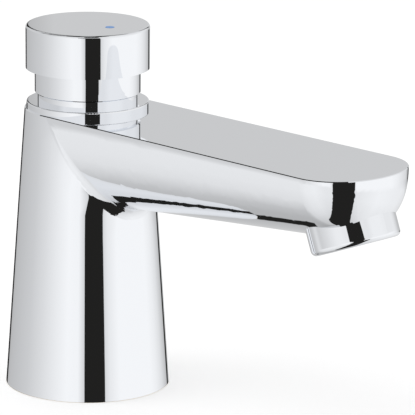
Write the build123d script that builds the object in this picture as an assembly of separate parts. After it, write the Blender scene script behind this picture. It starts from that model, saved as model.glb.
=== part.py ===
from build123d import *
import os
from math import cos, sin, sqrt, radians, atan2, pi

os.makedirs("parts", exist_ok=True)

# Push timed basin tap, millimetres, +Z up.
# The origin is the centre of the base face, on the pillar axis, and the spout points along +X.

# General clearances
seat_clearance = 0.02
running_clearance = 0.05
insert_clearance = 0.1
overrun = 1.0

# Dashpot and barrel, which the bores of the casting and the neck follow
dashpot_dia = 21.0
barrel_wall = 1.8
barrel_dia = dashpot_dia + 2 * barrel_wall

# Pillar and spout, outside
base_dia = 56.0
pillar_top_dia = 42.8
top_height = 96.35
spout_root_width = 42.7
spout_tip_width = 43.4
spout_reach = 136.95
spout_root_depth = 33.1
nose_depth = 23.3
nose_start = 115.0
nose_corner_radius = 16.5
nose_end_radius = 30.0
spout_blend_radius = 4.5
rim_chamfer = 0.25
nose_power_share = 3.0
slice_angle_shares = [0, 1 / 6, 1 / 3, 1 / 2, 2 / 3, 4 / 5, 11 / 12]
room_angle_shares = [0, 1 / 3, 2 / 3, 11 / 12]

# Outlet collar under the nose
outlet_setback = 12.3
outlet_drop = 25.05
outlet_thread_minor_dia = 22.92
outlet_wall = 3.215
outlet_dia = outlet_thread_minor_dia + 2 * outlet_wall
outlet_tilt = 21.0
outlet_edge_radius = 1.8
outlet_collar_height = 13.0
outlet_thread_length = 9.5
outlet_shoulder = 2.96
outlet_passage_dia = outlet_thread_minor_dia - 2 * outlet_shoulder
outlet_web = 2.0

# Casting walls
pillar_wall = 3.2
spout_wall = 2.6
spout_top_wall = 3.0
spout_tip_wall = 3.2
spout_room_start = 12.0
floor_thickness = 14.0

# Inlet, fixing studs and base seal, in the base face
inlet_thread_minor_dia = 14.95
inlet_thread_length = 12.0
inlet_passage_dia = 13.0
stud_hole_dia = 5.0
stud_hole_depth = 10.0
stud_spacing = 27.0
seal_groove_inner_dia = 41.0
seal_groove_outer_dia = 48.0
seal_groove_depth = 2.5
seal_recess = 0.1

# Socket for the foot of the cartridge
socket_dia = barrel_dia + 2 * insert_clearance
socket_wall = 3.0
socket_floor = 22.0
socket_top = 40.0

# Boss that carries the bonnet thread
neck_boss_height = 12.2
neck_throat_gap = 0.3
neck_throat_dia = barrel_dia + 2 * neck_throat_gap
neck_throat_length = 3.0
neck_shoulder = 2.4
neck_thread_dia = neck_throat_dia + 2 * neck_shoulder
neck_boss_wall = 3.7
neck_boss_dia = neck_thread_dia + 2 * neck_boss_wall

# Spindle
spindle_dia = 6.0
spindle_step = 0.5
spindle_stem_dia = spindle_dia - 2 * spindle_step
spindle_tip_gap = 0.6

# Collar ring and bonnet that form the visible neck
neck_skirt = 1.95
groove_dia = neck_thread_dia + 2 * neck_skirt
groove_height = 2.85
groove_depth = 1.0
neck_dia = groove_dia + 2 * groove_depth
neck_edge_chamfer = 0.5
neck_foot_chamfer = 0.35
collar_step = 2.8
collar_dia = neck_dia + 2 * collar_step
collar_height = 2.25
collar_edge_radius = 0.5
bonnet_bore_gap = 1.0
bonnet_bore_dia = barrel_dia + 2 * bonnet_bore_gap
bonnet_top_wall = 3.0

# Push cap
cap_guide_gap = 0.3
cap_wall = 2.75
cap_dia = neck_dia + 2 * (cap_guide_gap + cap_wall)
cap_bottom_gap = 11.25
cap_height = 14.8
cap_roof = 3.0
cap_edge_radius = 0.9
cap_boss_wall = 2.8
cap_boss_dia = spindle_dia + 2 * cap_boss_wall
cap_boss_gap = 1.2
bonnet_top_hole_dia = cap_boss_dia + 2 * cap_boss_gap
cap_boss_length = 4.7
travel = 7.0
stop_gap = 0.3

# Cold-water dot let into the cap
dot_dia = 3.1
dot_depth = 0.9
dot_proud = 0.05
dot_offset = 9.3
dot_turn = 8.7

# Cartridge barrel
foot_wall = 3.8
foot_bore_dia = barrel_dia - 2 * foot_wall
seat_ring_height = 2.4
seat_ring_width = 3.5
seat_orifice_dia = foot_bore_dia - 2 * seat_ring_width
spring_shoulder_width = 3.0
outlet_chamber_dia = dashpot_dia - 2 * spring_shoulder_width
outlet_chamber_height = 9.5
port_width = 6.0
port_height = 5.5
port_count = 4
port_sill = 1.5
barrel_flange_dia = neck_thread_dia - 2 * neck_throat_gap
barrel_flange_height = 2.5
gasket_thickness = 1.0
o_ring_groove_depth = 2.0
o_ring_groove_height = 2.8
foot_seal_height = 9.0

# Inlet strainer
strainer_thickness = 1.2
strainer_hole_flats = 2.2
strainer_pitch = 3.0
strainer_ring_count = 2

# Piston, valve and nuts on the spindle
piston_gap = 2.0
piston_height = 6.0
piston_clearance = 0.2
piston_seal_height = 3.0
piston_seal_radial = 2.4
piston_seal_land = 1.0
piston_seal_lip = 1.2
circlip_height = 0.8
circlip_radial = 2.0
circlip_groove_depth = 0.5
circlip_gap = 3.0
valve_seat_lap = 1.7
valve_washer_dia = seat_orifice_dia + 2 * valve_seat_lap
valve_washer_thickness = 2.2
valve_head_rim = 0.5
valve_head_dia = valve_washer_dia + 2 * valve_head_rim
valve_head_height = 4.6
valve_head_lip = 1.4
valve_nut_wall = 1.5
valve_nut_flats = spindle_stem_dia + 2 * valve_nut_wall
valve_nut_height = 2.6
lock_nut_wall = 2.0
lock_nut_flats = spindle_dia + 2 * lock_nut_wall
lock_nut_height = 3.2

# Gland that closes the barrel and guides the spindle
gland_height = 8.0
gland_flange_gap = 0.4
gland_flange_dia = bonnet_bore_dia - 2 * gland_flange_gap
gland_flange_height = 2.0
rod_seal_room = 1.8
rod_seal_dia = spindle_dia + 2 * rod_seal_room
rod_seal_height = 2.2
rod_seal_sill = 2.0
guide_bush_wall = 2.0
guide_bush_dia = spindle_dia + 2 * guide_bush_wall
guide_bush_height = 3.4
guide_bush_flange_width = 1.5
guide_bush_flange_dia = guide_bush_dia + 2 * guide_bush_flange_width
guide_bush_flange_height = 0.8

# Metering pin, in the land between the rod seal and the groove of the piston seal
metering_land = dashpot_dia / 2 - piston_seal_radial - rod_seal_dia / 2
metering_pin_dia_share = 16 / 33
metering_pin_place_share = 6 / 11
metering_pin_dia = metering_land * metering_pin_dia_share
metering_pin_offset = rod_seal_dia / 2 + metering_land * metering_pin_place_share
metering_pin_reach = 19.0
metering_pin_root = 3.0
metering_flat_share = 0.35

# Return spring
spring_wire_dia = 1.2
spring_turns = 6
spring_wall_gap = 0.35

# Aerator in the outlet
aerator_recess = 0.6
aerator_wall = 1.5
aerator_height = 7.2
aerator_lip = 1.2
aerator_lip_height = 1.0
aerator_washer_width = 2.2
insert_height = 4.4
insert_wall = 1.0
insert_rib = 0.9
insert_rib_count = 6
screen_thickness = 1.0
screen_bar = 0.8
screen_pitch = 2.6
regulator_height = 3.4
regulator_gap = 1.0
regulator_dia = outlet_passage_dia - 2 * regulator_gap
regulator_hole_dia = 1.8
regulator_hole_count = 8


def rod(dia, low, high):
    """Upright cylinder on the pillar axis."""
    return Pos(0, 0, (low + high) / 2) * Cylinder(dia / 2, high - low)


def ring(inner_dia, outer_dia, low, high):
    """Upright ring on the pillar axis."""
    return rod(outer_dia, low, high) - rod(inner_dia, low, high)


def turned(points):
    """Solid turned about the pillar axis from a closed outline of (radius, height) points."""
    outline = Polyline(*[(r, 0, z) for r, z in points], close=True)
    return revolve(make_face(outline), Axis.Z)


def seal_ring(inner_dia, outer_dia, middle_z):
    """Squeezed O-ring between two diameters: an eight-sided section with a flat on each wall."""
    middle = (outer_dia + inner_dia) / 4
    corner = (outer_dia - inner_dia) / 4 / cos(pi / 8)
    turns = [pi / 8 + pi / 4 * number for number in range(8)]
    return turned([(middle + corner * cos(turn), middle_z + corner * sin(turn)) for turn in turns])


def hex_nut(flats, bore_dia, low, high):
    """Plain hexagon nut on the pillar axis."""
    blank = extrude(RegularPolygon(flats / 2, 6, major_radius=False), high - low)
    return Pos(0, 0, low) * blank - rod(bore_dia, low - overrun, high + overrun)


def pillar_radius(z):
    """Outside radius of the tapered pillar at a height."""
    return base_dia / 2 + (pillar_top_dia - base_dia) / 2 * z / top_height


def spout_slice(angle, start_x, top_z, side_in, bottom_in, tip_in):
    """Outline of the boat-shaped spout where its section ellipse has turned by an angle."""
    narrow, drop = cos(angle), sin(angle)
    root_half = (spout_root_width / 2 - side_in) * narrow
    tip_half = (spout_tip_width / 2 - side_in) * narrow
    # The nose outline is two corner arcs and an end arc, all tangent. Its reach draws in after its width.
    reach_share = (1 - drop ** nose_power_share) ** (1 / nose_power_share)
    reach = nose_start + (spout_reach - tip_in - nose_start) * reach_share
    corner_radius = (nose_corner_radius - side_in) * narrow
    end_radius = (nose_end_radius - tip_in) * narrow
    corner_y = tip_half - corner_radius
    corner_x = reach - end_radius + sqrt((end_radius - corner_radius) ** 2 - corner_y ** 2)
    swing = atan2(corner_y, corner_x - reach + end_radius)
    half_way = (swing + pi / 2) / 2
    corner_middle = (corner_x + corner_radius * cos(half_way), corner_y + corner_radius * sin(half_way))
    corner_end = (reach - end_radius + end_radius * cos(swing), end_radius * sin(swing))
    start_half = root_half + (tip_half - root_half) * start_x / nose_start
    upper = [(start_x, start_half), (corner_x, tip_half), corner_end]
    mirrored = [(x, -y) for x, y in reversed(upper)]
    edges = [
        Line(upper[0], upper[1]),
        ThreePointArc(upper[1], corner_middle, upper[2]),
        ThreePointArc(upper[2], (reach, 0), mirrored[0]),
        ThreePointArc(mirrored[0], (corner_middle[0], -corner_middle[1]), mirrored[1]),
        Line(mirrored[1], mirrored[2]),
        Line(mirrored[2], upper[0]),
    ]
    root_drop = (spout_root_depth - bottom_in) * drop
    nose_drop = (nose_depth - bottom_in) * drop
    plane = Plane(
        origin=(0, 0, top_z - root_drop),
        x_dir=(nose_start, 0, root_drop - nose_drop),
        z_dir=(nose_drop - root_drop, 0, nose_start),
    )
    return plane * make_face(edges)


def spout_form(angle_shares, start_x, top_z, side_in, bottom_in, tip_in):
    """Boat-shaped spout solid, drawn in from the outer form by wall thicknesses."""
    return loft([
        spout_slice(share * pi / 2, start_x, top_z, side_in, bottom_in, tip_in) for share in angle_shares
    ])


# Frame of the tilted outlet: its Z axis runs up into the nose from the centre of the lower rim
outlet_x = spout_reach - outlet_setback
outlet_z = top_height - outlet_drop
outlet_up = (-sin(radians(outlet_tilt)), 0, cos(radians(outlet_tilt)))
outlet_across = (cos(radians(outlet_tilt)), 0, sin(radians(outlet_tilt)))
outlet_plane = Plane(origin=(outlet_x, 0, outlet_z), x_dir=outlet_across, z_dir=outlet_up)


def outlet_rod(dia, low, high):
    """Cylinder on the tilted outlet axis, between two heights above the lower rim."""
    return outlet_plane * rod(dia, low, high)


# Heights of the cartridge stack
collar_top = top_height + collar_height
groove_top = collar_top + groove_height
cap_bottom = collar_top + cap_bottom_gap
cap_top = cap_bottom + cap_height
roof_under = cap_top - cap_roof
bonnet_top = roof_under - travel - stop_gap
neck_boss_bottom = top_height - neck_boss_height
throat_top = neck_boss_bottom + neck_throat_length
flange_bottom = throat_top + gasket_thickness
barrel_top = flange_bottom + barrel_flange_height
foot_bottom = socket_floor + strainer_thickness
gland_bottom = barrel_top - gland_height
piston_top = gland_bottom - piston_gap
piston_bottom = piston_top - piston_height
seat_under = socket_top
seat_shoulder = seat_under + seat_ring_height
spring_shoulder = seat_shoulder + outlet_chamber_height
washer_top = seat_under - running_clearance
head_top = washer_top - valve_washer_thickness + valve_head_lip
head_bottom = head_top - valve_head_height
gland_top = barrel_top + gland_flange_height
rod_seal_low = gland_bottom + rod_seal_sill

# Sizes and heights of the aerator, and the place of the cold-water dot
aerator_dia = outlet_thread_minor_dia - 2 * seat_clearance
aerator_bore_dia = aerator_dia - 2 * aerator_wall
aerator_top = aerator_recess + aerator_height
aerator_lip_top = aerator_recess + aerator_lip_height
dot_place = Pos(dot_offset * cos(radians(dot_turn)), dot_offset * sin(radians(dot_turn)), 0)


def tap_body():
    """Cast body: tapered pillar, boat-shaped spout, tilted outlet collar and the seats inside."""
    shoulder = top_height - rim_chamfer
    pillar = Pos(0, 0, shoulder / 2) * Rot(0, 0, 180) * Cone(base_dia / 2, pillar_radius(shoulder), shoulder)
    body = pillar + spout_form(slice_angle_shares, 0, shoulder, 0, rim_chamfer, 0)
    joint_edges = [
        edge for edge in body.edges()
        if edge.geom_type != GeomType.LINE and overrun < edge.center().X < base_dia / 2
        and edge.center().Z < shoulder - overrun
    ]
    body = fillet(joint_edges, spout_blend_radius)
    body = body + outlet_collar() + top_rim(shoulder)
    body = body - water_room() - inlet_cuts() - neck_cuts() - outlet_cuts()
    return body


def top_rim(shoulder):
    """Thin bevelled layer that carries the flat polished top."""
    pillar_rim = Pos(0, 0, shoulder + rim_chamfer / 2) * Cone(
        pillar_radius(shoulder), pillar_top_dia / 2 - rim_chamfer, rim_chamfer
    )
    spout_rim = loft([
        spout_slice(0, 0, shoulder, 0, 0, 0), spout_slice(0, 0, top_height, rim_chamfer, 0, rim_chamfer)
    ], ruled=True)
    return pillar_rim + spout_rim


def outlet_collar():
    """Short tilted cylinder that carries the aerator, with its lower rim rounded."""
    blank = rod(outlet_dia, 0, outlet_collar_height)
    lower_rim = blank.edges().filter_by(GeomType.CIRCLE).sort_by(Axis.Z)[0]
    return outlet_plane * fillet(lower_rim, outlet_edge_radius)


def water_room():
    """Hollow of the casting, with the socket boss, the neck boss and the outlet boss left standing in it."""
    low_radius = pillar_radius(floor_thickness) - pillar_wall
    high_radius = pillar_radius(neck_boss_bottom) - pillar_wall
    room_height = neck_boss_bottom - floor_thickness
    pillar_room = Pos(0, 0, floor_thickness + room_height / 2) * Cone(low_radius, high_radius, room_height)
    spout_room = spout_form(
        room_angle_shares, spout_room_start, top_height - spout_top_wall,
        spout_wall, spout_top_wall + spout_wall, spout_tip_wall,
    )
    socket_boss = rod(socket_dia + 2 * socket_wall, floor_thickness - overrun, socket_top)
    neck_boss = rod(neck_boss_dia, neck_boss_bottom, top_height)
    outlet_boss = outlet_rod(outlet_dia, 0, outlet_thread_length + outlet_web)
    return pillar_room + spout_room - socket_boss - neck_boss - outlet_boss


def inlet_cuts():
    """Threaded inlet, its passage, the cartridge socket, the stud holes and the seal groove."""
    cuts = rod(inlet_thread_minor_dia, -overrun, inlet_thread_length)
    cuts += rod(inlet_passage_dia, 0, socket_floor + overrun)
    cuts += rod(socket_dia, socket_floor, socket_top + overrun)
    cuts += ring(seal_groove_inner_dia, seal_groove_outer_dia, -overrun, seal_groove_depth)
    for side in (-1, 1):
        cuts += Pos(0, side * stud_spacing / 2, 0) * rod(stud_hole_dia, -overrun, stud_hole_depth)
    return cuts


def neck_cuts():
    """Threaded bore for the bonnet and the throat that the barrel hangs through."""
    return rod(neck_thread_dia, throat_top, top_height + overrun) + rod(
        neck_throat_dia, neck_boss_bottom - overrun, throat_top + overrun
    )


def outlet_cuts():
    """Threaded bore for the aerator and the passage above it."""
    thread = outlet_rod(outlet_thread_minor_dia, -overrun, outlet_thread_length)
    passage = outlet_rod(outlet_passage_dia, 0, outlet_thread_length + outlet_web + overrun)
    return thread + passage


def base_seal():
    """Flat rubber ring in the groove of the base face, just short of the deck."""
    return ring(
        seal_groove_inner_dia + 2 * insert_clearance, seal_groove_outer_dia - 2 * insert_clearance,
        seal_recess, seal_groove_depth,
    )


def inlet_strainer():
    """Perforated disc clamped between the socket floor and the cartridge foot."""
    disc = rod(socket_dia - 2 * insert_clearance, socket_floor, socket_floor + strainer_thickness)
    outline = RegularPolygon(strainer_hole_flats / 2, 6, major_radius=False)
    hole = extrude(outline, strainer_thickness + 2 * overrun)
    places = [(0, 0)]
    for number in range(1, strainer_ring_count + 1):
        for step in range(6 * number):
            turn = radians(60 * step / number)
            places.append((number * strainer_pitch * cos(turn), number * strainer_pitch * sin(turn)))
    for x, y in places:
        disc -= Pos(x, y, socket_floor - overrun) * hole
    return disc


def cartridge_barrel():
    """Barrel with foot socket, seat shoulder, ported outlet chamber, dashpot bore and top flange."""
    outer, flange = barrel_dia / 2, barrel_flange_dia / 2
    foot, chamber, dashpot = foot_bore_dia / 2, outlet_chamber_dia / 2, dashpot_dia / 2
    barrel = turned([
        (foot, foot_bottom), (outer, foot_bottom), (outer, flange_bottom), (flange, flange_bottom),
        (flange, barrel_top), (dashpot, barrel_top), (dashpot, spring_shoulder), (chamber, spring_shoulder),
        (chamber, seat_shoulder), (foot, seat_shoulder),
    ])
    seal_low = foot_bottom + foot_seal_height - o_ring_groove_height / 2
    barrel -= ring(
        barrel_dia - 2 * o_ring_groove_depth, barrel_dia + overrun, seal_low, seal_low + o_ring_groove_height
    )
    port = Pos(barrel_dia / 2, 0, seat_shoulder + port_sill + port_height / 2) * Box(
        barrel_dia, port_width, port_height
    )
    for number in range(port_count):
        barrel -= Rot(0, 0, 360 * number / port_count) * port
    return barrel


def foot_seal():
    """O-ring between the foot groove and the socket wall."""
    groove_floor_dia = barrel_dia - 2 * o_ring_groove_depth
    middle = foot_bottom + foot_seal_height
    return seal_ring(groove_floor_dia + 2 * seat_clearance, socket_dia - 2 * seat_clearance, middle)


def valve_seat():
    """Seat ring under the shoulder of the foot bore."""
    return ring(seat_orifice_dia, foot_bore_dia - 2 * seat_clearance, seat_under, seat_shoulder)


def barrel_gasket():
    """Flat ring between the neck boss and the barrel flange."""
    inner_dia = neck_throat_dia + 2 * insert_clearance
    return ring(inner_dia, neck_thread_dia - 2 * insert_clearance, throat_top, flange_bottom)


def cartridge_gland():
    """Gland that closes the barrel, with the bores for spindle, rod seal, guide bush and metering pin."""
    gland = rod(dashpot_dia - 2 * seat_clearance, gland_bottom, barrel_top)
    gland += rod(gland_flange_dia, barrel_top, gland_top)
    gland -= rod(spindle_dia + 2 * running_clearance, gland_bottom - overrun, gland_top + overrun)
    gland -= rod(rod_seal_dia, rod_seal_low, rod_seal_low + rod_seal_height)
    gland -= rod(guide_bush_dia, gland_top - guide_bush_height, gland_top + overrun)
    pin_top = gland_bottom + metering_pin_root
    pin_hole = rod(metering_pin_dia + 2 * seat_clearance, gland_bottom - overrun, pin_top)
    return gland - Pos(-metering_pin_offset, 0, 0) * pin_hole


def rod_seal():
    """O-ring round the spindle in the gland."""
    middle = rod_seal_low + rod_seal_height / 2
    return seal_ring(spindle_dia + 2 * running_clearance, rod_seal_dia - 2 * seat_clearance, middle)


def guide_bush():
    """Flanged plastic bush that guides the spindle at the top of the gland."""
    flange_top = gland_top + guide_bush_flange_height
    bush = rod(guide_bush_dia - 2 * seat_clearance, gland_top - guide_bush_height, gland_top)
    bush += rod(guide_bush_flange_dia, gland_top, flange_top)
    return bush - rod(spindle_dia + 2 * running_clearance, rod_seal_low, flange_top + overrun)


def metering_pin():
    """Fixed pin through the piston, with a long flat that lets the dashpot refill slowly."""
    low, high = gland_bottom - metering_pin_reach, gland_bottom + metering_pin_root
    pin = rod(metering_pin_dia, low, high)
    flat_depth = metering_pin_dia / 2 * metering_flat_share
    flat = Pos(metering_pin_dia - flat_depth, 0, gland_bottom - metering_pin_reach / 2) * Box(
        metering_pin_dia, metering_pin_dia, metering_pin_reach
    )
    return Pos(-metering_pin_offset, 0, 0) * (pin - flat)


def bonnet():
    """Threaded bonnet that forms the neck, clamps the cartridge and guides the push cap."""
    thread = neck_thread_dia / 2 - running_clearance
    bore, hole = bonnet_bore_dia / 2, bonnet_top_hole_dia / 2
    groove, neck = groove_dia / 2, neck_dia / 2
    return turned([
        (bore, barrel_top), (thread, barrel_top), (thread, collar_top), (groove, collar_top),
        (groove, groove_top), (neck - neck_foot_chamfer, groove_top), (neck, groove_top + neck_foot_chamfer),
        (neck, bonnet_top - neck_edge_chamfer),
        (neck - neck_edge_chamfer, bonnet_top), (hole, bonnet_top), (hole, bonnet_top - bonnet_top_wall),
        (bore, bonnet_top - bonnet_top_wall),
    ])


def collar_ring():
    """Trim ring clamped between the bonnet and the flat top of the casting."""
    blank = rod(collar_dia, top_height, collar_top)
    upper_rim = blank.edges().filter_by(GeomType.CIRCLE).sort_by(Axis.Z)[-1]
    blank = fillet(upper_rim, collar_edge_radius)
    return blank - rod(neck_thread_dia + 2 * insert_clearance, top_height - overrun, collar_top + overrun)


def push_cap():
    """Push cap: a short cup upside down, with a boss for the spindle and a recess for the dot."""
    blank = rod(cap_dia, cap_bottom, cap_top)
    upper_rim = blank.edges().filter_by(GeomType.CIRCLE).sort_by(Axis.Z)[-1]
    blank = fillet(upper_rim, cap_edge_radius)
    cup = blank - rod(cap_dia - 2 * cap_wall, cap_bottom - overrun, roof_under)
    cup += rod(cap_boss_dia, roof_under - cap_boss_length, roof_under)
    cup -= rod(spindle_dia + 2 * seat_clearance, cap_bottom, roof_under)
    return cup - dot_place * rod(dot_dia + 2 * seat_clearance, cap_top - dot_depth, cap_top + overrun)


def cold_dot():
    """Cold-water dot set into the cap."""
    return dot_place * rod(dot_dia, cap_top - dot_depth, cap_top + dot_proud)


def spindle():
    """Stepped spindle from the cap boss down to the valve, with a groove for the circlip."""
    tip = head_bottom - valve_nut_height - spindle_tip_gap
    stem = rod(spindle_stem_dia, tip, piston_top)
    shaft = rod(spindle_dia, piston_top, roof_under - spindle_tip_gap)
    groove_floor_dia = spindle_stem_dia - 2 * circlip_groove_depth
    return stem + shaft - ring(groove_floor_dia, spindle_dia, piston_bottom - circlip_height, piston_bottom)


def lock_nut():
    """Jam nut under the cap boss."""
    boss_bottom = roof_under - cap_boss_length
    bore_dia = spindle_dia + 2 * seat_clearance
    return hex_nut(lock_nut_flats, bore_dia, boss_bottom - lock_nut_height, boss_bottom)


def piston():
    """Dashpot piston with a groove for its lip seal and a hole for the metering pin."""
    disc = rod(dashpot_dia - 2 * piston_clearance, piston_bottom, piston_top)
    disc -= rod(spindle_stem_dia + 2 * seat_clearance, piston_bottom - overrun, piston_top + overrun)
    seal_top = piston_top - piston_seal_land
    disc -= ring(
        dashpot_dia - 2 * piston_seal_radial, dashpot_dia + overrun, seal_top - piston_seal_height, seal_top
    )
    pin_hole = rod(metering_pin_dia + 2 * running_clearance, piston_bottom - overrun, piston_top + overrun)
    return disc - Pos(-metering_pin_offset, 0, 0) * pin_hole


def piston_seal():
    """U-shaped lip seal that rides in the dashpot bore."""
    outer, inner = dashpot_dia / 2 - running_clearance, dashpot_dia / 2 - piston_seal_radial + seat_clearance
    top = piston_top - piston_seal_land - seat_clearance
    low = top - piston_seal_height + 2 * seat_clearance
    middle = (outer + inner) / 2
    heel = top - piston_seal_lip
    return turned([
        (inner, low), (outer - piston_clearance, low), (outer, heel),
        (outer, top), (middle, heel), (inner, top),
    ])


def piston_circlip():
    """Open ring that holds the piston against the spindle shoulder."""
    inner_dia = spindle_stem_dia - 2 * circlip_groove_depth + 2 * seat_clearance
    clip = ring(inner_dia, inner_dia + 2 * circlip_radial, piston_bottom - circlip_height, piston_bottom)
    slot_height = 2 * circlip_height + overrun
    slot = Pos(-spindle_dia, 0, piston_bottom) * Box(2 * spindle_dia, circlip_gap, slot_height)
    return clip - slot


def valve_head():
    """Brass holder with a recess for the valve washer."""
    rim, recess, stem = valve_head_dia / 2, valve_washer_dia / 2 + insert_clearance, spindle_stem_dia / 2
    bore = stem + seat_clearance
    return turned([
        (bore, head_bottom), (rim, head_bottom), (rim, head_top), (recess, head_top),
        (recess, head_top - valve_head_lip), (bore, head_top - valve_head_lip),
    ])


def valve_washer():
    """Rubber washer that closes against the seat ring."""
    bore_dia = spindle_stem_dia + 2 * seat_clearance
    return ring(bore_dia, valve_washer_dia, washer_top - valve_washer_thickness, washer_top)


def valve_nut():
    """Nut that holds the valve head on the spindle."""
    return hex_nut(
        valve_nut_flats, spindle_stem_dia + 2 * seat_clearance, head_bottom - valve_nut_height, head_bottom
    )


def return_spring():
    """Compression spring round the piston pin, swept on pairs of tangent arcs, two to each half turn."""
    radius = dashpot_dia / 2 - spring_wall_gap - spring_wire_dia / 2
    low = spring_shoulder + spring_wire_dia / 2 + seat_clearance
    high = piston_bottom - spring_wire_dia / 2 - seat_clearance
    steps = 2 * spring_turns
    climb = (high - low) / steps
    tangent_rise = climb / (pi * radius)

    def place(step):
        return Vector(radius * cos(pi * step), radius * sin(pi * step), low + climb * step)

    def heading(step):
        return Vector(-sin(pi * step), cos(pi * step), tangent_rise).normalized()

    arcs = []
    for step in range(steps):
        start, end, leave, arrive = place(step), place(step + 1), heading(step), heading(step + 1)
        chord, both = end - start, leave + arrive
        spread = 2 * (1 - leave.dot(arrive))
        reach = (sqrt(chord.dot(both) ** 2 + spread * chord.dot(chord)) - chord.dot(both)) / spread
        first, second = start + leave * reach, end - arrive * reach
        meeting = (first + second) / 2
        arcs.append(Edge.make_tangent_arc(start, leave, meeting))
        arcs.append(Edge.make_tangent_arc(meeting, second - first, end))
    path = Wire(arcs)
    section = Plane(origin=place(0), z_dir=heading(0)) * RegularPolygon(spring_wire_dia / 2, 8)
    return sweep(section, path=path)


def aerator_housing():
    """Threaded ring that screws up into the outlet, with an inner lip below."""
    housing = ring(aerator_bore_dia, aerator_dia, aerator_recess, aerator_top)
    return outlet_plane * (
        housing + ring(aerator_bore_dia - 2 * aerator_lip, aerator_dia, aerator_recess, aerator_lip_top)
    )


def aerator_screen():
    """Grid disc that lies on the lip of the aerator housing."""
    low, high = aerator_lip_top, aerator_lip_top + screen_thickness
    disc = rod(aerator_bore_dia - 2 * insert_clearance, low, high)
    cell = Pos(0, 0, (low + high) / 2) * Box(
        screen_pitch - screen_bar, screen_pitch - screen_bar, screen_thickness + overrun
    )
    free_radius = aerator_bore_dia / 2 - aerator_lip
    span = int(free_radius / screen_pitch)
    for column in range(-span, span + 1):
        for row in range(-span, span + 1):
            corner = sqrt(column ** 2 + row ** 2) * screen_pitch + screen_pitch / 2
            if corner < free_radius:
                disc -= Pos(column * screen_pitch, row * screen_pitch, 0) * cell
    return outlet_plane * disc


def aerator_insert():
    """Ribbed cup that mixes air into the water above the grid."""
    low = aerator_lip_top + screen_thickness
    high = low + insert_height
    outer_dia = aerator_bore_dia - 2 * insert_clearance
    cup = ring(outer_dia - 2 * insert_wall, outer_dia, low, high)
    hub_dia = regulator_dia / 2
    cup += rod(hub_dia, low, high)
    rib_length = outer_dia / 2 - insert_wall / 2
    rib = Pos(rib_length / 2, 0, (low + high) / 2) * Box(rib_length, insert_rib, insert_height)
    for number in range(insert_rib_count):
        cup += Rot(0, 0, 360 * number / insert_rib_count) * rib
    return outlet_plane * cup


def aerator_washer():
    """Flat washer between the aerator housing and the shoulder of the outlet."""
    return outlet_plane * ring(
        aerator_dia - 2 * aerator_washer_width, aerator_dia, aerator_top, outlet_thread_length
    )


def flow_regulator():
    """Disc with metering holes that limits the flow, seated on the aerator insert."""
    low = aerator_lip_top + screen_thickness + insert_height
    disc = rod(regulator_dia, low, low + regulator_height)
    hole_circle = regulator_dia / 2 - regulator_hole_dia
    for number in range(regulator_hole_count):
        turn = radians(360 * number / regulator_hole_count)
        disc -= Pos(hole_circle * cos(turn), hole_circle * sin(turn), 0) * rod(
            regulator_hole_dia, low - overrun, low + regulator_height + overrun
        )
    return outlet_plane * disc


pieces = [
    tap_body, base_seal, inlet_strainer, valve_seat, cartridge_barrel, foot_seal, barrel_gasket,
    cartridge_gland, rod_seal, guide_bush, metering_pin, bonnet, collar_ring,
    aerator_housing, aerator_washer, aerator_screen, aerator_insert, flow_regulator,
    push_cap, cold_dot, spindle, lock_nut, piston, piston_seal, piston_circlip,
    valve_head, valve_washer, valve_nut, return_spring,
]
for piece in pieces:
    export_step(piece(), f"parts/{piece.__name__}.step")
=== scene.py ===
from math import atan2, degrees, pi, radians, sin

import bmesh
import bpy
from mathutils import Matrix, Vector


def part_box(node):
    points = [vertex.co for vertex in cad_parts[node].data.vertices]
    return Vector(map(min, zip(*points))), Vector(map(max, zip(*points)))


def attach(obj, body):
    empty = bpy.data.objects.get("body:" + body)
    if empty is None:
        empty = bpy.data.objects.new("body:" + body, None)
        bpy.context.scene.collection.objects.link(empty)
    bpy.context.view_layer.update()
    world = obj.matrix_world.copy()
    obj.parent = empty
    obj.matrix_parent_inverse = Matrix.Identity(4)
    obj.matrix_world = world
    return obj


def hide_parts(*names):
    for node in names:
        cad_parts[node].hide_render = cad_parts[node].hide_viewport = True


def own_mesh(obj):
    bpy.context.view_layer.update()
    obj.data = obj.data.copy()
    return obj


# Looks of the push timed basin tap: polished chrome in a white studio, with a black flag beside the
# camera. Metres, in the model's own frame: the spout points along +X, and the origin is the centre
# of the base.

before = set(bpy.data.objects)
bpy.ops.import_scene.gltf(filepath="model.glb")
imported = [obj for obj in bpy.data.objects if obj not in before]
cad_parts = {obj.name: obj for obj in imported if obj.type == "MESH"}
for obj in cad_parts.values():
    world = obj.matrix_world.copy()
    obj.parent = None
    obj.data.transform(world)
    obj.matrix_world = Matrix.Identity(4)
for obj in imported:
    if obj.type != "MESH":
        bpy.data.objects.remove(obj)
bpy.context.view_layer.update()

# Camera
camera_place = Vector((0.95807, -0.90485, 0.3980))
camera_aim = Vector((0.05467, 0.00276, 0.07052))
camera_roll = 0.454
camera_lens = 346.66
camera_sensor = 36.0
camera_clip = (0.05, 20.0)
camera_bearing = degrees(atan2(camera_place.y, camera_place.x))

# Studio light
fill_strength = 0.72
lamp_energy = 3.2
lamp_size = 0.9
lamp_place = Vector((-0.5, -0.7, 1.3))
white_wall = (1.0, 1.0, 1.0, 1.0)

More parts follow.
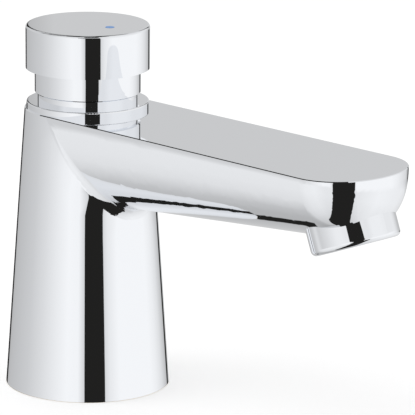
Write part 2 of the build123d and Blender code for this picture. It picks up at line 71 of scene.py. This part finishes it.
# Tones of the studio walls, as (bearing, tone): at eye level, on the ground below it and above it.
# Bearings are in degrees from the camera's, positive to the right.
eye_level_tones = [
    (-180, 0.62), (-158, 0.48), (-145, 0.535), (-120, 0.59), (-96, 0.65), (-72, 0.765),
    (-48, 0.905), (-30, 1.0), (-14, 0.98), (-5, 0.7), (22, 0.7), (31, 0.88), (46, 1.0),
    (100, 1.0), (114, 0.93), (128, 0.81), (145, 0.58), (162, 0.5), (168, 0.9), (176, 0.98),
]
ground_tones = [
    (-180, 0.62), (-150, 0.52), (-132, 0.54), (-118, 0.62), (-104, 0.83), (-78, 0.91),
    (-52, 0.93), (-26, 0.87), (40, 0.82), (60, 0.9), (80, 0.96), (130, 0.9), (176, 0.66),
]
above_tones = [
    (-180, 0.62), (-130, 0.66), (-72, 0.7), (-56, 0.86), (-20, 0.88), (34, 0.85), (48, 0.93),
    (76, 0.93), (96, 0.87), (120, 0.87), (150, 0.72), (178, 0.62),
]

# How the walls darken downward and overhead, and where one band passes into the next, as (angle
# above the horizon, share)
fall_off_shares = [
    (-90, 0.6), (-76, 0.7), (-60, 0.84), (-50, 0.91), (-40, 0.95), (-28, 1.0), (20, 1.0),
    (90, 0.85),
]
ground_to_eye_level = [(-19, 0.0), (-16, 1.0)]
eye_level_to_above = [(-2, 0.0), (8, 1.0)]

# The black flag, as (angle, reach). The angle lies in the camera's upright plane, with 0 level in
# front, 90 overhead and 180 behind. The reach is how far the flag goes to its right or its left.
# It stands beside the camera, from below it to a little above. A second piece over it blackens the
# rounded rims, and an arm of that goes back along the rim line, clear of straight up, so that flat
# tops stay light.
flag_right_reach = [
    (-92, 0.0), (-88, 0.2), (-84, 0.26), (-76, 0.302), (-72, 0.322), (-64, 0.372), (-57, 0.41),
    (-51, 0.456), (-45.4, 0.484), (-40.4, 0.538), (-36, 0.574), (-32.4, 0.606), (-26, 0.634),
    (-20, 0.617), (-16.2, 0.605), (-15.7, 0.392), (-12, 0.391), (-10.2, 0.409), (-8.6, 0.411),
    (-7.4, 0.406), (-5.5, 0.389), (0, 0.388), (19, 0.375), (20.5, 0.3), (23, 0.3), (24, 0.0),
    (37, 0.0), (38, 0.28), (79, 0.28), (81, 0.0),
]
flag_left_reach = [
    (-94, 0.0), (-86, 0.24), (-81, 0.284), (-70, 0.254), (-54, 0.224), (-42, 0.198), (-36, 0.175),
    (-31, 0.149), (-15, 0.147), (-13.5, 0.09), (-12, 0.09), (-10, 0.086), (-7, 0.0905), (0, 0.092),
    (9, 0.31), (20, 0.31), (23, 0.1), (24, 0.0), (37, 0.0), (38, 0.075), (60, 0.1), (77, 0.32),
    (84, 0.52), (92, 0.62), (98, 0.68), (118, 0.72), (124, 0.7), (128, 0.0),
]
arm_inner_reach = [
    (80, 0.0), (82, 0.2), (92, 0.4), (100, 0.47), (112, 0.56), (124, 0.56), (128, 0.0),
]
flag_edge = 0.008
flag_colour = (0.0165, 0.0160, 0.0150, 1.0)

# The flag's farthest reach where it is seen by way of another part of the tap, and the count of
# bounces above which it is
neck_flag_left = 0.1
line_flag_right = 0.39
after_first_mirror = 1.5

# Dark strips, card and ring: bearings in degrees, heights as the sine of the angle above the
# horizon, and how softly their edges end
strip_bearings = {"left": (-179.5, -156.5), "right": (148.8, 161.0)}
strip_heights = {"left": (-0.31, -0.19), "right": (-0.272, -0.19)}
strip_side_edge = 2.0
upper_strip_heights = (0.12, 0.56)
upper_strip_edge = 0.02
card_bearings = (-158.8, -144.0)
card_side_edge = 1.5
card_heights = (-0.775, -0.695)
ring_heights = (0.935, 0.993)
ring_edge = 0.003
ring_back_bearing = 130.0
ring_back_heights = (0.76, 0.95)
height_edge = 0.01

# Floor
floor_radius = 4.0
floor_sides = 96
floor_drop = 0.0001
floor_colour = (0.8, 0.8, 0.8, 1.0)
floor_lift = 0.42

# Chrome
chrome_colour = (0.900, 0.917, 0.946, 1.0)
chrome_roughness = (0.012, 0.03)
buffing_haze_scale = 90.0
buffing_swell_scale = 45.0
buffing_wave = 0.000004

# Bare brass on the base face, in the inlet and in the stud holes, in metres as in the model
base_edge = 0.00005
inlet_radius = 0.007475
inlet_pitch = 0.001337
inlet_depth = 0.012
inlet_passage = 0.0124
socket_height = 0.04
stud_radius = 0.0025
stud_pitch = 0.001
stud_depth = 0.01
stud_place = 0.0135
zone_margin = 0.0002
thread_depth = 0.0009
facing_pitch = 0.0005
facing_depth = 0.00003
facing_strength = 0.6
faced_tones = [(0.3, (0.60, 0.44, 0.20)), (0.7, (0.72, 0.56, 0.29))]
faced_tone_scale = 160.0
faced_roughness = 0.34

# Turned brass pieces
turning_pitch = 0.00035
turning_depth = 0.00002
turning_strength = 0.5
turning_shake = 4.0
turning_wander_scale = 400.0
tarnish_scale = 120.0
tarnish_tones = [
    (0.3, (0.58, 0.42, 0.19)), (0.55, (0.74, 0.58, 0.30)), (0.75, (0.80, 0.64, 0.35)),
]
turned_roughness = (0.22, 0.38)

# Drawn steel
drawn_stretch = (2600.0, 2600.0, 160.0)
drawn_depth = 0.00001
drawn_strength = 0.4
drawn_tones = [(0.3, (0.50, 0.51, 0.53)), (0.7, (0.68, 0.69, 0.71))]
drawn_roughness = (0.2, 0.36)

# Rubber
rubber_grain_scale = 3200.0
rubber_grain_depth = 0.00003
rubber_grain_strength = 0.5
bloom_scale = 130.0
bloom_tones = [(0.4, (0.018, 0.018, 0.019)), (0.75, (0.055, 0.055, 0.057))]
rubber_roughness = (0.55, 0.75)

# Plastics. Each has a darker tone, a lighter tone, and its least and most roughness
plastic_flow_scale = 210.0
plastic_flow_bend = 0.8
plastic_grain_scale = 4200.0
plastic_grain_depth = 0.00002
plastic_grain_strength = 0.3
plastic_tone_places = (0.35, 0.7)
white_acetal = ((0.74, 0.74, 0.71), (0.82, 0.82, 0.79), (0.32, 0.46))
grey_acetal = ((0.30, 0.31, 0.33), (0.37, 0.38, 0.40), (0.35, 0.5))
green_acetal = ((0.10, 0.36, 0.18), (0.14, 0.44, 0.23), (0.32, 0.46))
blue_enamel = ((0.055, 0.27, 0.71), (0.07, 0.31, 0.78), (0.14, 0.2))

# Most of a noise lies between these two values
noise_low, noise_high = 0.3, 0.7

# Return spring inside the tap
spring_wire_radius = 0.0006
spring_wire_sides = 16
spring_turns = 6
spring_steps = 32 * spring_turns


class Nodes:
    """Adds nodes to a tree and joins them, so that a material reads from top to bottom."""

    def __init__(self, tree):
        self.tree = tree
        tree.nodes.clear()

    def add(self, kind, inputs=None, **settings):
        node = self.tree.nodes.new(kind)
        for name, value in settings.items():
            setattr(node, name, value)
        for key, value in (inputs or {}).items():
            if isinstance(key, int):
                socket = node.inputs[key]
            else:
                socket = next(i for i in node.inputs if i.enabled and i.name == key)
            if isinstance(value, bpy.types.NodeSocket):
                self.tree.links.new(value, socket)
            else:
                socket.default_value = value
        return node

    def math(self, operation, first, second=0.0, third=0.0, clamp=False):
        values = {0: first, 1: second, 2: third}
        node = self.add("ShaderNodeMath", values, operation=operation, use_clamp=clamp)
        return node.outputs[0]

    def ramp(self, factor, stops):
        """Colour ramp from (position, grey or colour) stops."""
        node = self.add("ShaderNodeValToRGB", {0: factor})
        elements = node.color_ramp.elements
        while len(elements) < len(stops):
            elements.new(0.5)
        for element, (position, tone) in zip(elements, stops):
            element.position = position
            colour = (tone, tone, tone) if isinstance(tone, float) else tone
            element.color = (*colour, 1.0)
        return node.outputs["Color"]

    def mix(self, factor, first, second, blend_type="MIX"):
        values = {"Factor": factor, "A": first, "B": second}
        node = self.add("ShaderNodeMix", values, data_type="RGBA", blend_type=blend_type)
        return node.outputs["Result"]

    def mix_shaders(self, factor, first, second):
        return self.add("ShaderNodeMixShader", {0: factor, 1: first, 2: second}).outputs[0]

    def between(self, value, low, high, soft):
        """1 where value lies between low and high, with an edge that is soft wide."""
        rise = self.math("DIVIDE", self.math("SUBTRACT", value, low), soft, clamp=True)
        fall = self.math("DIVIDE", self.math("SUBTRACT", high, value), soft, clamp=True)
        return self.math("MULTIPLY", rise, fall)

    def parts(self, vector):
        """The x, y and z of a vector."""
        return self.add("ShaderNodeSeparateXYZ", {0: vector}).outputs

    def noise(self, place, scale, detail, bend=0.0):
        values = {"Vector": place, "Scale": scale, "Detail": detail, "Distortion": bend}
        return self.add("ShaderNodeTexNoise", values).outputs[0]

    def by_noise(self, noise, values):
        """A number that follows a noise from the first of two values to the second."""
        low, high = values
        stretch = {0: noise, 1: noise_low, 2: noise_high, 3: low, 4: high}
        return self.add("ShaderNodeMapRange", stretch).outputs[0]

    def relief(self, height, depth, strength=1.0, over=None):
        """A bump of so many metres, over another bump if one is given."""
        values = {"Strength": strength, "Distance": depth, "Height": height}
        if over:
            values["Normal"] = over
        return self.add("ShaderNodeBump", values).outputs[0]

    def metal(self, colour, roughness, normal):
        values = {"Base Color": colour, "Metallic": 1.0, "Roughness": roughness, "Normal": normal}
        return self.add("ShaderNodeBsdfPrincipled", values).outputs[0]

    def dull(self, colour, roughness, normal):
        """Rubber or plastic: anything that isn't metal."""
        values = {"Base Color": colour, "Roughness": roughness, "Normal": normal}
        return self.add("ShaderNodeBsdfPrincipled", values).outputs[0]


def angle_ramp(nodes, share, pairs):
    """Ramp over a full turn, from (angle, value) pairs with angles from -180 to 180 degrees."""
    return nodes.ramp(share, [((angle + 180) / 360, value) for angle, value in pairs])


def height_ramp(nodes, share, pairs):
    """Ramp from (angle above the horizon, value) pairs with angles from -90 to 90 degrees."""
    return nodes.ramp(share, [(0.5 + 0.5 * sin(radians(angle)), value) for angle, value in pairs])


def studio_walls(nodes, bearing_share, height_share):
    """White and pale grey walls: the ground below, the wall at eye level and the wall above it."""
    eye_level = angle_ramp(nodes, bearing_share, eye_level_tones)
    ground = angle_ramp(nodes, bearing_share, ground_tones)
    above = angle_ramp(nodes, bearing_share, above_tones)
    fall_off = height_ramp(nodes, height_share, fall_off_shares)
    over_ground = height_ramp(nodes, height_share, ground_to_eye_level)
    over_eye = height_ramp(nodes, height_share, eye_level_to_above)
    low = nodes.mix(over_ground, ground, eye_level)
    high = nodes.mix(over_eye, low, above)
    return nodes.mix(1.0, high, fall_off, blend_type="MULTIPLY")


def black_flag(nodes, toward, across, up):
    """1 where the black flag beside the camera is mirrored."""
    turn = nodes.math("ARCTAN2", up, toward)
    along = nodes.math("MULTIPLY_ADD", turn, 1 / (2 * pi), 0.5)
    right = angle_ramp(nodes, along, flag_right_reach)
    left = angle_ramp(nodes, along, flag_left_reach)
    arm_inside = angle_ramp(nodes, along, arm_inner_reach)
    # The outlet stands nearer to the flag. The neck sees it narrower by way of the spout's top, and
    # so does the spout's underside by way of the pillar, where it is the thin line along the spout.
    depth = nodes.add("ShaderNodeLightPath").outputs["Glossy Depth"]
    by_way = nodes.math("GREATER_THAN", depth, after_first_mirror)
    left_reach = nodes.mix(by_way, left, nodes.math("MINIMUM", left, neck_flag_left))
    whole_right = nodes.mix(by_way, right, nodes.math("MINIMUM", right, line_flag_right))
    right_reach = nodes.math("SUBTRACT", whole_right, arm_inside)
    from_left = nodes.math("ADD", across, left_reach)
    from_right = nodes.math("SUBTRACT", right_reach, across)
    right_of = nodes.math("DIVIDE", from_left, flag_edge, clamp=True)
    left_of = nodes.math("DIVIDE", from_right, flag_edge, clamp=True)
    return nodes.math("MULTIPLY", right_of, left_of)


def dark_strips(nodes, bearing, up):
    """1 on the thin dark strips behind the tap, which draw its edges against the white."""
    upper = nodes.between(up, *upper_strip_heights, upper_strip_edge)
    strips = 0.0
    for side in "left", "right":
        lower = nodes.between(up, *strip_heights[side], height_edge)
        reach = nodes.math("MAXIMUM", lower, upper)
        width = nodes.between(bearing, *strip_bearings[side], strip_side_edge)
        strips = nodes.math("MAXIMUM", nodes.math("MULTIPLY", width, reach), strips)
    return strips


def low_card(nodes, bearing, up):
    """1 on the low dark card, which draws the line under the spout."""
    width = nodes.between(bearing, *card_bearings, card_side_edge)
    return nodes.math("MULTIPLY", width, nodes.between(up, *card_heights, height_edge))


def overhead_ring(nodes, bearing, up):
    """1 on the dark ring round the light overhead, which draws the rounded rims.

    It reaches lower behind the tap.
    """
    behind = nodes.math("GREATER_THAN", nodes.math("ABSOLUTE", bearing), ring_back_bearing)
    low_part = nodes.between(up, *ring_back_heights, height_edge)
    low_ring = nodes.math("MULTIPLY", behind, low_part)
    return nodes.math("MAXIMUM", nodes.between(up, *ring_heights, ring_edge), low_ring)


def polished_studio(nodes):
    """What polished metal mirrors: the walls, and before them the flag and the dark pieces."""
    coords = nodes.add("ShaderNodeTexCoord")
    turned = nodes.add(
        "ShaderNodeVectorRotate",
        {"Vector": coords.outputs["Generated"], "Angle": radians(-camera_bearing)},
        rotation_type="Z_AXIS",
    )
    toward, across, up = nodes.parts(turned.outputs[0])
    bearing = nodes.math("MULTIPLY", nodes.math("ARCTAN2", across, toward), 180 / pi)
    bearing_share = nodes.math("MULTIPLY_ADD", bearing, 1 / 360, 0.5)
    height_share = nodes.math("MULTIPLY_ADD", up, 0.5, 0.5)
    walls = studio_walls(nodes, bearing_share, height_share)
    dark = black_flag(nodes, toward, across, up)
    for piece in dark_strips, low_card, overhead_ring:
        dark = nodes.math("MAXIMUM", dark, piece(nodes, bearing, up))
    mirrored = nodes.mix(dark, walls, flag_colour)
    return nodes.add("ShaderNodeBackground", {"Color": mirrored, "Strength": 1.0}).outputs[0]


def studio_world():
    world = bpy.data.worlds.new("white_studio")
    bpy.context.scene.world = world
    world.use_nodes = True
    nodes = Nodes(world.node_tree)
    ray = nodes.add("ShaderNodeLightPath").outputs
    fill = nodes.add("ShaderNodeBackground", {"Color": white_wall, "Strength": fill_strength})
    backdrop = nodes.add("ShaderNodeBackground", {"Color": white_wall, "Strength": 1.0})
    mirrored = nodes.math("MAXIMUM", ray["Is Glossy Ray"], ray["Is Transmission Ray"])
    lit = nodes.mix_shaders(mirrored, fill.outputs[0], polished_studio(nodes))
    seen = nodes.mix_shaders(ray["Is Camera Ray"], lit, backdrop.outputs[0])
    nodes.add("ShaderNodeOutputWorld", {"Surface": seen})


def floor():
    bpy.ops.mesh.primitive_circle_add(
        vertices=floor_sides, radius=floor_radius, fill_type="NGON", location=(0, 0, -floor_drop)
    )
    disc = bpy.context.object
    disc.name = "floor"
    material = bpy.data.materials.new("pale_floor")
    material.use_nodes = True
    nodes = Nodes(material.node_tree)
    ray = nodes.add("ShaderNodeLightPath").outputs
    paint = nodes.add("ShaderNodeBsdfDiffuse", {"Color": floor_colour}).outputs[0]
    lift = nodes.add("ShaderNodeEmission", {"Color": white_wall, "Strength": floor_lift})
    lifted = nodes.add("ShaderNodeAddShader", {0: paint, 1: lift.outputs[0]}).outputs[0]
    seen = nodes.mix_shaders(ray["Is Camera Ray"], paint, lifted)
    # Clear from below, so that the base can be looked at.
    clear = nodes.add("ShaderNodeBsdfTransparent").outputs[0]
    below = nodes.add("ShaderNodeNewGeometry").outputs["Backfacing"]
    finish_material(nodes, nodes.mix_shaders(below, seen, clear))
    disc.data.materials.append(material)
    disc.visible_glossy = False


def soft_lamp():
    light = bpy.data.lights.new("soft_lamp", "AREA")
    light.shape = "DISK"
    light.size = lamp_size
    light.energy = lamp_energy
    lamp = bpy.data.objects.new("soft_lamp", light)
    bpy.context.scene.collection.objects.link(lamp)
    lamp.location = lamp_place
    lamp.rotation_euler = (-lamp_place).to_track_quat("-Z", "Y").to_euler()
    lamp.visible_glossy = False
    lamp.visible_camera = False


def photo_camera():
    data = bpy.data.cameras.new("camera")
    data.lens = camera_lens
    data.sensor_width = camera_sensor
    data.clip_start, data.clip_end = camera_clip
    camera = bpy.data.objects.new("camera", data)
    bpy.context.scene.collection.objects.link(camera)
    camera.location = camera_place
    look = (camera_aim - camera_place).to_track_quat("-Z", "Y").to_matrix()
    camera.rotation_euler = (look @ Matrix.Rotation(radians(camera_roll), 3, "Z")).to_euler()
    bpy.context.scene.camera = camera


def new_material(name):
    """An empty node material, with the object's own coordinates in metres."""
    material = bpy.data.materials.new(name)
    material.use_nodes = True
    nodes = Nodes(material.node_tree)
    place = nodes.add("ShaderNodeTexCoord").outputs["Object"]
    return material, nodes, place


def finish_material(nodes, shader):
    nodes.add("ShaderNodeOutputMaterial", {"Surface": shader})


def shaft_radius(nodes, place, x=0.0, y=0.0):
    """Distance from an upright axis at (x, y)."""
    part = nodes.parts(place)
    across = nodes.math("POWER", nodes.math("SUBTRACT", part[0], x), 2.0)
    along = nodes.math("POWER", nodes.math("SUBTRACT", part[1], y), 2.0)
    return nodes.math("SQRT", nodes.math("ADD", across, along))


def chrome_shader(nodes, place):
    """Mirror chrome with the faint haze and waviness that buffing leaves."""
    haze = nodes.noise(place, buffing_haze_scale, detail=3.0)
    swell = nodes.noise(place, buffing_swell_scale, detail=1.0)
    wave = nodes.relief(swell, buffing_wave)
    return nodes.metal(chrome_colour, nodes.by_noise(haze, chrome_roughness), wave)


def polished_chrome():
    """Mirror chrome over polished brass."""
    material, nodes, place = new_material("polished_chrome")
    finish_material(nodes, chrome_shader(nodes, place))
    return material


def bore_zone(nodes, radius, height, bore_radius, bore_depth):
    """1 on the wall and floor of an upright bore in the base."""
    within = nodes.math("LESS_THAN", radius, bore_radius + zone_margin)
    return nodes.math("MULTIPLY", within, nodes.math("LESS_THAN", height, bore_depth))


def plated_casting():
    """The casting: chrome outside, and bare machined brass below and in the bores of the base."""
    material, nodes, place = new_material("plated_casting")
    x, y, height = nodes.parts(place)
    middle = shaft_radius(nodes, place)
    # The inlet's thread is a helix of height plus turn. The stud holes' fine threads are rings.
    turn = nodes.math("DIVIDE", nodes.math("ARCTAN2", y, x), 2 * pi)
    inlet_path = nodes.math("ADD", nodes.math("DIVIDE", height, inlet_pitch), turn)
    inlet_ridge = nodes.math("PINGPONG", inlet_path, 0.5)
    inlet_zone = bore_zone(nodes, middle, height, inlet_radius, inlet_depth)
    left_stud = shaft_radius(nodes, place, 0.0, stud_place)
    right_stud = shaft_radius(nodes, place, 0.0, -stud_place)
    near_stud = nodes.math("MINIMUM", left_stud, right_stud)
    stud_ridge = nodes.math("PINGPONG", nodes.math("DIVIDE", height, stud_pitch), 0.5)
    stud_zone = bore_zone(nodes, near_stud, height, stud_radius, stud_depth)
    inlet_thread = nodes.math("MULTIPLY", inlet_ridge, inlet_zone)
    stud_thread = nodes.math("MULTIPLY", stud_ridge, stud_zone)
    thread = nodes.relief(nodes.math("ADD", inlet_thread, stud_thread), thread_depth)
    rings = nodes.math("SINE", nodes.math("MULTIPLY", middle, 2 * pi / facing_pitch))
    faced = nodes.relief(rings, facing_depth, facing_strength, over=thread)
    underside = nodes.math("LESS_THAN", height, base_edge)
    low_inside = bore_zone(nodes, middle, height, inlet_passage, socket_height)
    bare = nodes.math("MAXIMUM", nodes.math("MAXIMUM", underside, low_inside), stud_zone)
    tone = nodes.ramp(nodes.noise(place, faced_tone_scale, detail=4.0), faced_tones)
    brass = nodes.metal(tone, faced_roughness, faced)
    finish_material(nodes, nodes.mix_shaders(bare, chrome_shader(nodes, place), brass))
    return material


def turning_marks(nodes, place):
    """Fine rings left by the lathe, spaced along the axis and across the faces."""
    path = nodes.math("ADD", shaft_radius(nodes, place), nodes.parts(place)[2])
    wander = nodes.noise(place, turning_wander_scale, detail=2.0)
    shake = nodes.math("MULTIPLY", wander, turning_shake)
    return nodes.math("SINE", nodes.math("MULTIPLY_ADD", path, 2 * pi / turning_pitch, shake))


def machined_brass():
    """Turned brass: lathe rings, and a tone that drifts where it has begun to tarnish."""
    material, nodes, place = new_material("machined_brass")
    rings = nodes.relief(turning_marks(nodes, place), turning_depth, turning_strength)
    drift = nodes.noise(place, tarnish_scale, detail=4.0)
    tone = nodes.ramp(drift, tarnish_tones)
    finish_material(nodes, nodes.metal(tone, nodes.by_noise(drift, turned_roughness), rings))
    return material


def satin_steel():
    """Stainless steel with a drawn, lengthways grain."""
    material, nodes, place = new_material("satin_steel")
    drawn = nodes.add("ShaderNodeMapping", {"Vector": place, "Scale": drawn_stretch}).outputs[0]
    grain = nodes.noise(drawn, 1.0, detail=3.0)
    lines = nodes.relief(grain, drawn_depth, drawn_strength)
    tone = nodes.ramp(grain, drawn_tones)
    finish_material(nodes, nodes.metal(tone, nodes.by_noise(grain, drawn_roughness), lines))
    return material


def black_rubber():
    """Moulded rubber: nearly black, with a fine grain and a dusty bloom in patches."""
    material, nodes, place = new_material("black_rubber")
    grain = nodes.noise(place, rubber_grain_scale, detail=2.0)
    bloom = nodes.noise(place, bloom_scale, detail=4.0)
    pores = nodes.relief(grain, rubber_grain_depth, rubber_grain_strength)
    tone = nodes.ramp(bloom, bloom_tones)
    finish_material(nodes, nodes.dull(tone, nodes.by_noise(bloom, rubber_roughness), pores))
    return material


def moulded_plastic(name, dark, light, roughness):
    """Moulded plastic: a soft sheen, faint flow tone and a fine spark-eroded grain."""
    material, nodes, place = new_material(name)
    flow = nodes.noise(place, plastic_flow_scale, detail=3.0, bend=plastic_flow_bend)
    grain = nodes.noise(place, plastic_grain_scale, detail=1.0)
    pores = nodes.relief(grain, plastic_grain_depth, plastic_grain_strength)
    tone = nodes.ramp(flow, list(zip(plastic_tone_places, (dark, light))))
    finish_material(nodes, nodes.dull(tone, nodes.by_noise(grain, roughness), pores))
    return material


def return_spring_coil(steel):
    """The return spring as round wire.

    It stands on its shoulder in the barrel, where the real one shortens as the cap is pushed; this
    one rides with the tap at its full length.
    """
    lowest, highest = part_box("return_spring")
    radius = highest.x - spring_wire_radius
    start = Vector((radius, 0.0, lowest.z + spring_wire_radius))
    climb = highest.z - lowest.z - 2 * spring_wire_radius
    coil = bmesh.new()
    section = bmesh.ops.create_circle(
        coil, segments=spring_wire_sides, radius=spring_wire_radius, cap_ends=True
    )
    upright = Matrix.Translation(start) @ Matrix.Rotation(pi / 2, 4, "X")
    bmesh.ops.transform(coil, matrix=upright, verts=section["verts"])
    bmesh.ops.spin(
        coil, geom=coil.verts[:] + coil.edges[:] + coil.faces[:], cent=(0, 0, 0), axis=(0, 0, 1),
        dvec=(0, 0, climb / spring_steps), angle=2 * pi * spring_turns, steps=spring_steps,
    )
    bmesh.ops.recalc_face_normals(coil, faces=coil.faces[:])
    mesh = bpy.data.meshes.new("return_spring_coil")
    coil.to_mesh(mesh)
    coil.free()
    mesh.shade_smooth()
    mesh.materials.append(steel)
    spring = bpy.data.objects.new("return_spring_coil", mesh)
    bpy.context.scene.collection.objects.link(spring)
    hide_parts("return_spring")
    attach(spring, "tap")
    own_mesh(spring)


def dress_nodes():
    """Gives each piece of the model the finish of its material slot. The casting has its own."""
    finishes = {
        "chrome": polished_chrome(),
        "brass": machined_brass(),
        "steel": satin_steel(),
        "rubber": black_rubber(),
        "white_plastic": moulded_plastic("white_acetal", *white_acetal),
        "grey_plastic": moulded_plastic("grey_acetal", *grey_acetal),
        "green_plastic": moulded_plastic("green_acetal", *green_acetal),
        "blue_plastic": moulded_plastic("blue_enamel", *blue_enamel),
    }
    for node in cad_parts.values():
        slot = node.material_slots[0]
        finish = next(name for name in finishes if slot.material.name.startswith(name))
        slot.material = finishes[finish]
    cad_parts["tap_body"].material_slots[0].material = plated_casting()
    return_spring_coil(finishes["steel"])


dress_nodes()
photo_camera()
studio_world()
soft_lamp()
floor()
bpy.context.scene.view_settings.view_transform = "Standard"
